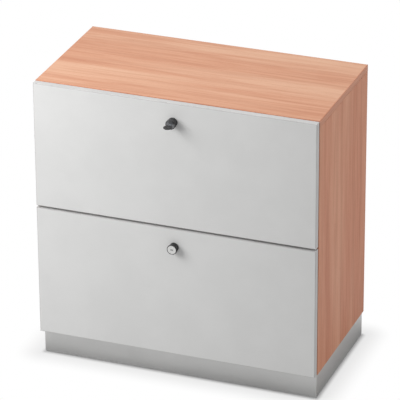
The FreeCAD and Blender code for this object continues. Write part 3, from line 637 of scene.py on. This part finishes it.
@dataclass(frozen=True)
class LevellerSteel:
    """A leveller's finish: black plastic foot, and a zinc-plated stud with a thread above it, its roots
    painted darker as shade.
    """

    name: str
    foot_top: float = 9 * MM
    plastic: Colour = tint(28, 28, 29)
    plastic_light: Colour = tint(46, 46, 47)
    # Painted shade: the thread's roots are coloured darker than its crests.
    root: Colour = tint(120, 123, 128)
    crest: Colour = tint(196, 198, 200)
    thread_scale: float = 105.0
    skin: Pattern = Pattern.even(500.0)
    metal: float = 0.9
    roughness: float = 0.46
    stud_polish: float = 0.16
    skin_roughness: float = 0.08
    relief: Relief = Relief(0.4 * MM, 0.8)

    def material(self) -> bpy.types.Material:
        """Makes the material.

        Returns:
            The finished material.
        """
        recipe = Recipe.named(self.name)
        stud = recipe.along(Axis.HEIGHT) > self.foot_top
        skin = recipe.pattern(self.skin)
        settings = {"wave_type": "BANDS", "bands_direction": "Z", "wave_profile": "TRI"}
        sockets = {"Vector": recipe.place, "Scale": self.thread_scale}
        thread = recipe.tone("ShaderNodeTexWave", settings, sockets, out=1)
        # The thread's bands darken the steel in its roots as painted shade.
        steel = recipe.mix(thread, self.root, self.crest)
        plastic = recipe.mix(skin, self.plastic, self.plastic_light)
        return recipe.finish({
            "Base Color": recipe.mix(stud, plastic, steel),
            "Metallic": stud * self.metal,
            "Roughness": self.roughness - stud * self.stud_polish + skin * self.skin_roughness,
            "Normal": recipe.relief(thread * stud, self.relief),
        })


@dataclass(frozen=True)
class MattRubber:
    """Pale elastic buffer with a dusty face."""

    name: str
    colour: Colour = tint(206, 205, 200)
    dusty: Colour = tint(178, 177, 172)
    dust: Pattern = Pattern.even(300.0, 5.0)
    roughness: float = 0.62
    dust_roughness: float = 0.2
    relief: Relief = Relief(0.05 * MM, 0.4)

    def material(self) -> bpy.types.Material:
        """Makes the material.

        Returns:
            The finished material.
        """
        recipe = Recipe.named(self.name)
        dust = recipe.pattern(self.dust)
        return recipe.finish({
            "Base Color": recipe.mix(dust, self.colour, self.dusty),
            "Roughness": self.roughness + dust * self.dust_roughness,
            "Normal": recipe.relief(dust, self.relief),
        })


def grid_piece(
    name: str, points: np.ndarray, loop_rows: bool, loop_columns: bool, crease: float = 35.0
) -> bpy.types.Object:
    """Makes a mesh object from a grid of points, with each square of the grid as one face.

    Args:
        name: The new object's name.
        points: Rows by columns by three coordinates, in metres.
        loop_rows: Whether the last row joins the first.
        loop_columns: Whether the last column joins the first.
        crease: The angle in degrees from which an edge is left sharp.

    Returns:
        The object, with doubles merged and its faces turned outwards.
    """
    rows, columns = points.shape[:2]
    row = np.arange(rows if loop_rows else rows - 1)[:, None]
    column = np.arange(columns if loop_columns else columns - 1)[None, :]
    next_row = (row + 1) % rows
    next_column = (column + 1) % columns
    around = ((row, column), (row, next_column), (next_row, next_column), (next_row, column))
    corners = [down * columns + across for down, across in around]
    faces = np.stack(np.broadcast_arrays(*corners), axis=-1).reshape(-1, 4)
    mesh = bpy.data.meshes.new(name)
    mesh.from_pydata(points.reshape(-1, 3).tolist(), [], faces.tolist())
    shape = bmesh.new()
    shape.from_mesh(mesh)
    bmesh.ops.remove_doubles(shape, verts=shape.verts, dist=MERGE_WITHIN)
    bmesh.ops.recalc_face_normals(shape, faces=shape.faces)
    shape.to_mesh(mesh)
    shape.free()
    mesh.polygons.foreach_set("use_smooth", np.ones(len(mesh.polygons), dtype=bool))
    mesh.set_sharp_from_angle(angle=math.radians(crease))
    piece = bpy.data.objects.new(name, mesh)
    bpy.context.scene.collection.objects.link(piece)
    return piece


def arc(centre: Span, radius: float, start: float, end: float, count: int) -> np.ndarray:
    """Gives points on an arc: the centre plus the radius times the cosine and sine of even angles.

    Args:
        centre: The arc's centre.
        radius: Its radius.
        start: The first angle in degrees.
        end: The last angle in degrees.
        count: How many points.

    Returns:
        An array of count by two.
    """
    angle = np.radians(np.linspace(start, end, count))
    return np.asarray(centre) + radius * np.stack([np.cos(angle), np.sin(angle)], axis=-1)


def ring_angles(count: int) -> np.ndarray:
    """Gives a number of even angles round a full turn, in radians."""
    return np.linspace(0.0, 2 * math.pi, count, endpoint=False)


def flattened(wave: np.ndarray, power: float) -> np.ndarray:
    """Squares a wave up: its sign times its size to a power below one."""
    return np.sign(wave) * np.abs(wave) ** power


def dress(node: str, material: bpy.types.Material) -> None:
    """Gives a CAD node a material and reports it.

    Args:
        node: The node's name.
        material: Its finish.
    """
    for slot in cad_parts[node].material_slots:
        slot.material = material
    LOG.info("%s: %s", node, material.name)


@dataclass
class Carcass:
    """The fixed cabinet: laminate boards, edge strips, connectors and strikes.

    Each board has a seed that picks its stretch of the grain.
    """

    top_seed: float = 79.2
    left_seed: float = 8.1
    right_seed: float = 55.3
    inner_seed: float = 17.1
    back_seed: float = 23.1
    dowel_seed: float = 1.0
    back_gloss: float = 0.06

    def boards(self) -> None:
        """Dresses the boards and their edge strips."""
        dress("top_panel", BeechLaminate("beech_top", Axis.WIDTH, self.top_seed).material())
        for side, seed in (("left", self.left_seed), ("right", self.right_seed)):
            laminate = BeechLaminate(f"beech_{side}", Axis.HEIGHT, seed, Beech.WARM)
            dress(f"{side}_side_panel", laminate.material())
        inner = BeechLaminate("beech_inner", Axis.WIDTH, self.inner_seed).material()
        for node in ("bottom_panel", "middle_rail"):
            dress(node, inner)
        back = BeechLaminate("beech_back", Axis.HEIGHT, self.back_seed, gloss=self.back_gloss)
        dress("back_panel", back.material())
        top_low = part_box("top_panel")[0][Axis.HEIGHT]
        dress("carcass_edge_strips", EdgeBand("beech_edging", top_low).material())

    def fittings(self) -> None:
        """Dresses the dowels, connectors, screws and strikes."""
        wood = BeechLaminate("dowel_beech", Axis.WIDTH, self.dowel_seed, Beech.DOWEL).material()
        dress("dowels", wood)
        zinc = ZincPlate("zinc_fittings").material()
        for node in ("connector_cams", "connector_bolts", "carcass_screws", "slide_screws", "lock_strikes"):
            dress(node, zinc)

    def build(self) -> None:
        """Dresses every fixed piece above the plinth, apart from the slides."""
        self.boards()
        self.fittings()


@dataclass
class Plinth:
    """The recessed steel plinth with its brackets, nuts and levellers."""

    colour: Colour = tint(207, 207, 206)
    cloud: Colour = tint(192, 192, 191)

    def build(self) -> None:
        """Dresses the plinth and its levellers."""
        paint = PlinthPaint("plinth_paint", self.colour, self.cloud).material()
        for node in (*PLINTH_RAILS, "plinth_corner_brackets"):
            dress(node, paint)
        dress("leveller_nuts", ZincPlate("zinc_nuts").material())
        stud = LevellerSteel("leveller_finish").material()
        for end in ("front", "back"):
            for side in ("left", "right"):
                dress(f"{end}_{side}_leveller", stud)


@dataclass
class Drawer:
    """One drawer: front, edge strips, buffers, steel box, file rails and its slide members."""

    tier: Tier
    front: bpy.types.Material
    # Darker than the front, as painted shade.
    shaded_edging: bpy.types.Material
    paint: bpy.types.Material
    zinc: bpy.types.Material
    rubber: bpy.types.Material

    def build(self) -> None:
        """Dresses the drawer's pieces and the slide members that carry it."""
        word = self.tier.value
        dress(f"{word}_front", self.front)
        dress(f"{word}_front_edge_strips", self.shaded_edging)
        dress(f"{word}_bumpers", self.rubber)
        for piece in ("left_wall", "right_wall", "tray", "front_file_rail", "rear_file_rail"):
            dress(f"{word}_{piece}", self.paint)
        members = ("cabinet_slides", "middle_slides", "drawer_slides")
        cages = ("outer_ball_cages", "inner_ball_cages")
        for piece in (*members, *cages, "drawer_fixings", "lock_nut", "lock_cam"):
            dress(f"{word}_{piece}", self.zinc)


@dataclass
class Lock:
    """A round knob with a lock plug in it, in millimetres, with depths counted from the front's face."""

    tier: Tier
    plating: Plating
    plastic: bpy.types.Material
    reach: float = 20.0
    radius: float = 14.0
    rounding: float = 1.2
    rim: float = 7.0
    lip: float = 0.3
    waist: float = 8.0
    foot_radius: float = 13.0
    foot: float = 3.0
    foot_edge: float = 0.4
    barrel: float = 9.5
    tail: float = 30.0
    bore: float = 7.05
    seat: float = 12.05
    seat_depth: float = 3.0
    turns: int = 96
    lip_points: int = 5
    rim_points: int = 12
    waist_points: int = 18
    axis_height: float = field(init=False)
    face: float = field(init=False)

    def __post_init__(self) -> None:
        """Reads where the lock's axis meets the front's face, in metres."""
        low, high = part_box(f"{self.tier.value}_knob")
        self.axis_height = (low[Axis.HEIGHT] + high[Axis.HEIGHT]) / 2
        self.face = low[Axis.DEPTH] + self.reach * MM

    def placed(self, across: np.ndarray, depth: np.ndarray, up: np.ndarray) -> np.ndarray:
        """Puts a grid that is counted from the lock's axis and the front's face into its place.

        Args:
            across: How far each point lies to the right, in millimetres.
            depth: How far it lies behind the front's face.
            up: How far it lies above the axis.

        Returns:
            Rows by columns by three coordinates, in metres.
        """
        grid = np.stack(np.broadcast_arrays(across, depth, up), axis=-1)
        return grid * MM + np.array([0.0, self.face, self.axis_height])

    def profile(self) -> np.ndarray:
        """Gives the knob's half section as radius and depth.

        The section runs from the plug's seat over its lip, round the nose's rounded rim, in along the
        waist's arc to the foot, back along the barrel and out again through the bore.

        Returns:
            A closed run of points in millimetres.
        """
        nose = -self.reach
        seat_floor = nose + self.seat_depth
        lip_centre = (self.seat + self.lip, nose + self.lip)
        rim_centre = (self.radius - self.rounding, nose + self.rounding)
        start = np.array([self.radius, nose + self.rim])
        end = np.array([self.foot_radius, -self.foot])
        half = (end - start) / 2
        chord = np.hypot(*half)
        outward = np.array([half[1], -half[0]]) / chord
        centre = start + half + outward * math.sqrt(self.waist**2 - chord**2)
        first, last = (math.degrees(math.atan2(*(point - centre)[::-1])) % 360 for point in (start, end))
        return np.concatenate([
            [[self.bore, seat_floor], [self.seat, seat_floor], [self.seat, nose + self.lip]],
            arc(lip_centre, self.lip, 180, 270, self.lip_points),
            arc(rim_centre, self.rounding, 270, 360, self.rim_points),
            arc(tuple(centre), self.waist, first, last, self.waist_points),
            [[self.foot_radius, -self.foot_edge], [self.foot_radius - self.foot_edge, 0.0]],
            [[self.barrel, 0.0], [self.barrel, self.tail], [self.bore, self.tail]],
        ])

    def knob(self) -> bpy.types.Object:
        """Turns the half section round the lock's axis: radius times cosine across and times sine up.

        Returns:
            The knob, riding on its drawer in place of its CAD node.
        """
        word = self.tier.value
        radius, depth = self.profile().T[:, :, None]
        angle = ring_angles(self.turns)
        points = self.placed(radius * np.cos(angle), depth, radius * np.sin(angle))
        piece = grid_piece(f"{word}_knob_turned", points, True, True)
        piece.data.materials.append(self.plastic)
        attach(piece, f"{word}_drawer")
        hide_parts(f"{word}_knob")
        return piece

    def build(self) -> None:
        """Makes the knob and dresses the plug."""
        piece = self.knob()
        LOG.info("%s: %d faces", piece.name, len(piece.data.polygons))
        word = self.tier.value
        steel = TurnedSteel(f"{word}_lock_steel", self.axis_height, self.plating)
        dress(f"{word}_lock_plug", steel.material())


@dataclass
class Key:
    """The key in the upper lock, in millimetres: a rounded bow with a hole, and a notched blade."""

    lock: Lock
    plastic: bpy.types.Material
    steel: bpy.types.Material
    stem: float = 6.0
    bow_radius: float = 12.0
    bow_half: float = 2.0
    bow_hole: float = 3.0
    bow_power: float = 0.4
    bow_turns: int = 72
    bow_rolls: int = 40
    bow_crease: float = 60.0
    blade_root: float = 4.0
    blade_depth: float = 18.4
    blade_half: float = 3.5
    blade_thick: float = 1.1
    blade_power: float = 0.3
    blade_rings: int = 90
    blade_turns: int = 32
    blade_crease: float = 50.0
    notch_start: float = 4.0
    notch_run: float = 2.0
    notch_depth: float = 0.9
    notch_turn: float = 1.6
    end_share: float = 1 / 40

    def bow(self) -> bpy.types.Object:
        """Makes the key's bow as a ring that blends from the round hole to the round rim.

        The section runs from the hole's edge over the top to the rim and back under, as a flattened oval:
        the share across is half of one minus a cosine, and the height is a sine to a power below one.

        Returns:
            The bow, riding on the lock.
        """
        turn = ring_angles(self.bow_turns)[:, None]
        roll = ring_angles(self.bow_rolls)[None, :]
        share = (1 - np.cos(roll)) / 2
        rise = flattened(np.sin(roll), self.bow_power) * self.bow_half
        middle = -self.lock.reach - self.stem - self.bow_radius
        centre = middle - self.bow_radius / 2 * (1 - share)
        radius = self.bow_hole + (self.bow_radius - self.bow_hole) * share
        points = self.lock.placed(radius * np.cos(turn), centre + radius * np.sin(turn), rise)
        piece = grid_piece("upper_key_bow", points, True, True, self.bow_crease)
        piece.data.materials.append(self.plastic)
        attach(piece, "upper_lock")
        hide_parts("upper_key")
        return piece

    def blade(self) -> bpy.types.Object:
        """Makes the key's blade as a rounded bar whose half width dips in steps along its length.

        Each ring is a flattened oval of a cosine and a sine to a power below one. A sine along the length
        cuts smooth notches into the half width inside the lock, and both ends shrink to a point.

        Returns:
            The blade, riding on the lock.
        """
        length = np.linspace(0.0, 1.0, self.blade_rings)[:, None]
        turn = ring_angles(self.blade_turns)[None, :]
        nose = -self.lock.reach
        root = nose - self.stem - self.blade_root
        depth = root + (nose + self.blade_depth - root) * length
        ends = np.sqrt(np.clip(np.minimum(length, 1 - length) / self.end_share, 0.0, 1.0))
        inside = np.clip((depth - nose - self.notch_start) / self.notch_run, 0.0, 1.0)
        notches = self.notch_depth * (1 + np.sin(depth * self.notch_turn)) / 2 * inside
        across = flattened(np.cos(turn), self.blade_power) * (self.blade_half - notches) * ends
        up = flattened(np.sin(turn), self.blade_power) * self.blade_thick * ends
        points = self.lock.placed(across, depth, up)
        piece = grid_piece("upper_key_blade", points, False, True, self.blade_crease)
        piece.data.materials.append(self.steel)
        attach(piece, "upper_lock")
        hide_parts("upper_key")
        return piece

    def build(self) -> None:
        """Makes the bow and the blade."""
        for piece in (self.bow(), self.blade()):
            LOG.info("%s: %d faces", piece.name, len(piece.data.polygons))


@dataclass(frozen=True)
class Lamp:
    """A soft square lamp: where it hangs, its power in watts and its side in metres."""

    name: str
    place: Point
    power: float
    size: float

    def hang(self, target: Point) -> None:
        """Adds the lamp to the scene.

        Args:
            target: The point that it faces.
        """
        data = bpy.data.lights.new(self.name, "AREA")
        data.energy = self.power
        data.size = self.size
        lamp = bpy.data.objects.new(self.name, data)
        lamp.location = self.place
        lamp.rotation_euler = (Vector(self.place) - Vector(target)).to_track_quat("Z", "Y").to_euler()
        bpy.context.scene.collection.objects.link(lamp)


@dataclass
class Studio:
    """Floor, lamps, sky and the camera at the photograph's angle."""

    target: Point = (0.0, 0.025, 0.41)
    azimuth: float = 20.90
    elevation: float = 25.41
    roll: float = -0.40
    distance: float = 8.750
    aside: float = -0.0055
    above: float = 0.0323
    focal_pixels: float = 3209.1
    image_pixels: float = 400.0
    sensor: float = 36.0
    sky: float = 0.36
    lamps: tuple[Lamp, ...] = (
        Lamp("key_lamp", (-1.30, -1.25, 1.55), 28.5, 1.2),
        Lamp("top_lamp", (0.1, 0.2, 3.1), 21.0, 1.4),
        Lamp("fill_lamp", (2.6, 0.4, 1.45), 11.5, 1.2),
    )
    floor_half: float = 6.0
    floor_lines: int = 13
    floor_tone: float = 0.55
    floor_cast: float = 0.03
    cast: Pattern = Pattern.even(0.8)
    contact: float = 0.014
    contact_shares: Span = (0.2, 0.5)
    fade: float = 0.09
    reflected_fade: float = 0.22

    def camera(self) -> None:
        """Sets the camera up from its angles, distance and focal length in pixels."""
        turn = math.radians(self.azimuth)
        lift = math.radians(self.elevation)
        lean = math.radians(self.roll)
        back = Vector((math.sin(turn) * math.cos(lift), -math.cos(turn) * math.cos(lift), math.sin(lift)))
        level = Vector((math.cos(turn), math.sin(turn), 0.0))
        upright = back.cross(level)
        right = level * math.cos(lean) + upright * math.sin(lean)
        up = upright * math.cos(lean) - level * math.sin(lean)
        place = Vector(self.target) + back * self.distance + right * self.aside + up * self.above
        data = bpy.data.cameras.new("photo_camera")
        data.sensor_width = self.sensor
        data.lens = self.focal_pixels * self.sensor / self.image_pixels
        camera = bpy.data.objects.new("photo_camera", data)
        axes = Matrix((right, up, back)).transposed().to_4x4()
        camera.matrix_world = Matrix.Translation(place) @ axes
        bpy.context.scene.collection.objects.link(camera)
        bpy.context.scene.camera = camera

    def backdrop(self) -> None:
        """Lights the surroundings evenly, and shows them white."""
        world = bpy.data.worlds.new("studio")
        recipe = Recipe(world)
        camera, reflected = recipe.seen()
        level = self.sky + camera.most(reflected) * (1.0 - self.sky)
        ground = recipe.tone("ShaderNodeBackground", None, {"Color": WHITE, "Strength": level})
        recipe.node("ShaderNodeOutputWorld", None, {"Surface": ground})
        bpy.context.scene.world = world

    def floor_finish(self) -> bpy.types.Material:
        """Makes a pale matt floor that keeps the cabinet's shadow and runs out into white.

        The shade ends close to the plinth for the camera, and a little further out in what the plinth's
        metal shows. The distance from the plinth is the root of the summed squares of the ways out.

        Returns:
            The floor's material.
        """
        recipe = Recipe.named("studio_floor")
        tones = ((self.floor_tone,) * 3, (self.floor_tone + self.floor_cast,) * 3)
        colour = recipe.mix(recipe.pattern(self.cast), *tones)
        matt = recipe.tone("ShaderNodeBsdfPrincipled", None, {
            "Base Color": colour,
            "Roughness": 1.0,
            "Specular IOR Level": 0.0,
        })
        white = recipe.tone("ShaderNodeEmission", None, {"Color": WHITE, "Strength": 1.0})
        boxes = np.array([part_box(rail) for rail in PLINTH_RAILS])
        low = boxes[:, 0].min(axis=0).tolist()
        high = boxes[:, 1].max(axis=0).tolist()
        aside, away = (
            recipe.along(axis).beyond(low[axis], high[axis]) for axis in (Axis.WIDTH, Axis.DEPTH)
        )
        gone = (aside * aside + away * away) ** 0.5
        least, near = self.contact_shares
        rest = 1.0 - least - near
        close = least + gone.ramp(0.0, self.contact) * near + gone.ramp(0.0, self.fade) * rest
        camera, reflected = recipe.seen()
        share = camera * close + reflected * gone.ramp(0.0, self.reflected_fade)
        surface = recipe.tone("ShaderNodeMixShader", None, {0: share, 1: matt, 2: white})
        recipe.node("ShaderNodeOutputMaterial", None, {"Surface": surface})
        return recipe.owner

    def floor(self) -> None:
        """Lays a flat floor as a grid of squares, with even steps across and along and no height."""
        run = np.linspace(-self.floor_half, self.floor_half, self.floor_lines)
        across, along = np.meshgrid(run, run, indexing="ij")
        points = np.stack([across, along, np.zeros_like(across)], axis=-1)
        piece = grid_piece("studio_floor", points, False, False)
        piece.data.materials.append(self.floor_finish())

    def build(self) -> None:
        """Sets up the studio."""
        bpy.context.scene.view_settings.view_transform = "Standard"
        self.camera()
        for lamp in self.lamps:
            lamp.hang(self.target)
        self.backdrop()
        self.floor()


def main() -> None:
    """Builds the cabinet's looks and the studio."""
    logging.basicConfig(level=logging.INFO, format="%(message)s")
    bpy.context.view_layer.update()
    Carcass().build()
    Plinth().build()
    front = PlainLaminate("grey_front", colour=tint(231, 231, 230), cloud=tint(226, 226, 225)).material()
    # The edge strips are a darker grey than the fronts as painted shade, for the shaded side faces of the
    # fronts and the gap between the drawers.
    shaded_edging = PlainLaminate("grey_edging_painted_shade", colour=tint(208, 207, 206), cloud=tint(200, 199, 198)).material()
    paint = PowderCoat("drawer_paint", colour=tint(196, 198, 199), cloud=tint(184, 186, 187)).material()
    zinc = ZincPlate("zinc_slides").material()
    rubber = MattRubber("buffer_rubber").material()
    plastic = MouldedPlastic("black_plastic").material()
    # The upper plug gets the plating darkened as painted shade.
    platings = {Tier.UPPER: Plating.PAINTED_SHADE, Tier.LOWER: Plating.BRIGHT}
    for tier, plating in platings.items():
        Drawer(tier, front, shaded_edging, paint, zinc, rubber).build()
        lock = Lock(tier, plating, plastic)
        lock.build()
        if tier is Tier.UPPER:
            Key(lock, plastic, ZincPlate("key_steel").material()).build()
    Studio().build()


if __name__ == "__main__":
    main()
